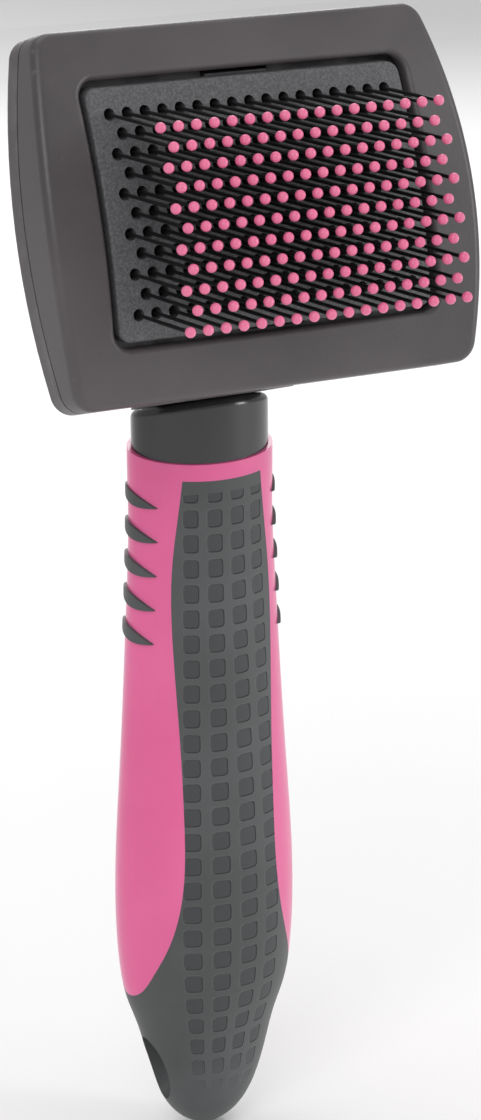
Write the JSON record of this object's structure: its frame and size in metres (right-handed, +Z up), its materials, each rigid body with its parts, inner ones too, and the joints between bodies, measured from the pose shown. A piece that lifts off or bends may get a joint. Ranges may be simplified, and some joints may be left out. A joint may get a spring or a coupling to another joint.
{
  "type": "slicker brush",
  "caption": "Self-cleaning slicker brush: tilted rectangular head of ball-tipped pins in a perforated plate that a rear button pushes out, on an oval two-material grip with a hang hole.",
  "frame": {"origin": "middle of the hang hole, on the handle's axis", "axes": "+Z up the handle towards the head, -Y the way the pins point, +X across the head and along the hang hole"},
  "size_m": [0.0826, 0.0637, 0.1997],
  "materials": {
    "head_satin_plastic": "satin",
    "plate_matte_plastic": "fine matte texture",
    "inner_plastic": "as moulded",
    "button_plastic": "satin gloss",
    "spring_steel": "drawn wire",
    "screw_steel": "zinc plated",
    "neck_gloss_plastic": "gloss",
    "pink_plastic": "satin gloss",
    "soft_grip": "soft matte",
    "pin_black": "black coated wire",
    "pink_tip": "satin"
  },
  "bodies": {
    "brush": {"front_frame": "head_satin_plastic", "rear_housing": "head_satin_plastic", "pin_base_plate": "inner_plastic", "pin_backing_plate": "inner_plastic", "housing_screws": "screw_steel", "neck_collar": "neck_gloss_plastic", "handle_core": "pink_plastic", "grip_overmould": "soft_grip", "tang_pin": "screw_steel", "grip_ribs_left": "soft_grip", "grip_ribs_right": "soft_grip", "return_spring_left": "spring_steel", "return_spring_right": "spring_steel", "pin_row_01": "pin_black", "pin_row_02": "pin_black", "pin_row_03": "pin_black", "pin_row_04": "pin_black", "pin_row_05": "pin_black", "pin_row_06": "pin_black", "pin_row_07": "pin_black", "pin_row_08": "pin_black", "pin_row_09": "pin_black", "pin_row_10": "pin_black", "pin_row_11": "pin_black", "tip_row_01": "pink_tip", "tip_row_02": "pink_tip", "tip_row_03": "pink_tip", "tip_row_04": "pink_tip", "tip_row_05": "pink_tip", "tip_row_06": "pink_tip", "tip_row_07": "pink_tip", "tip_row_08": "pink_tip", "tip_row_09": "pink_tip", "tip_row_10": "pink_tip", "tip_row_11": "pink_tip"},
    "stripper": {"stripper_plate": "plate_matte_plastic", "stripper_carriage": "inner_plastic"},
    "button": {"push_button": "button_plastic"}
  },
  "joints": [
    {"name": "button_press", "type": "slide", "parent": "brush", "child": "button", "axis": [0, -1, 0], "range_m": [0, 0.0095], "stiffness_N_per_m": 400, "springref_m": -0.004, "deforming": ["return_spring_left", "return_spring_right"]},
    {"name": "stripper_slide", "type": "slide", "parent": "brush", "child": "stripper", "axis": [0, -1, 0], "range_m": [0, 0.0095]}
  ],
  "couplings": [
    {"joint": "stripper_slide", "follows": "button_press", "ratio": 1}
  ]
}
